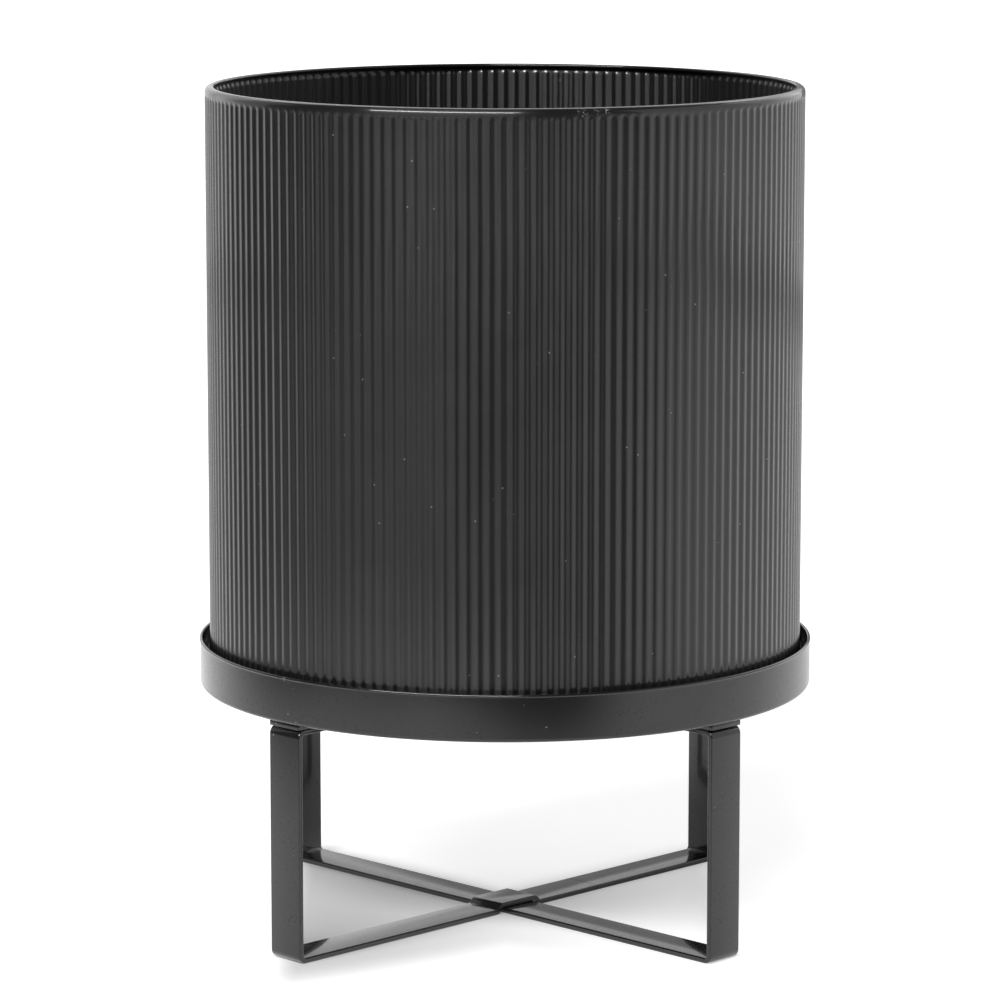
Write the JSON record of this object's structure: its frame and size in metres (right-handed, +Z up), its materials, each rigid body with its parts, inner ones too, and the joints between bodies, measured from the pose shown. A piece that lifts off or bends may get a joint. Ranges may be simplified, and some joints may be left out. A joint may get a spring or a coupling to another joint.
{
  "type": "umbrella stand",
  "caption": "Upright cylindrical umbrella stand: a finely fluted sheet-metal pot standing loose in a shallow round tray on crossed flat-bar frames.",
  "frame": {"origin": "on the floor, under the axis of the pot and the tray, where the two frames cross", "axes": "+Z up along the pot's axis; +X along the plain frame's bars, +Y along the joggled frame's bars"},
  "size_m": [0.28, 0.28, 0.3807],
  "materials": {
    "pot_coating": "satin black powder coat on fluted sheet steel",
    "tray_coating": "satin black powder coat on plain sheet steel",
    "bar_coating": "satin black powder coat on bent flat bar",
    "fastener_zinc": "zinc-plated screws"
  },
  "bodies": {
    "stand": {"tray_band": "tray_coating", "tray_floor": "tray_coating", "frame_plain": "bar_coating", "frame_joggled": "bar_coating", "spacer_plate_1": "bar_coating", "spacer_plate_2": "bar_coating", "spacer_plate_3": "bar_coating", "spacer_plate_4": "bar_coating", "tray_screw_1": "fastener_zinc", "tray_screw_2": "fastener_zinc", "tray_screw_3": "fastener_zinc", "tray_screw_4": "fastener_zinc"},
    "pot": {"pot_wall": "pot_coating", "pot_base": "pot_coating"}
  },
  "joints": [
    {"name": "pot_lift", "type": "slide", "parent": "stand", "child": "pot", "axis": [0, 0, 1], "range_m": [0, 0.1]}
  ]
}
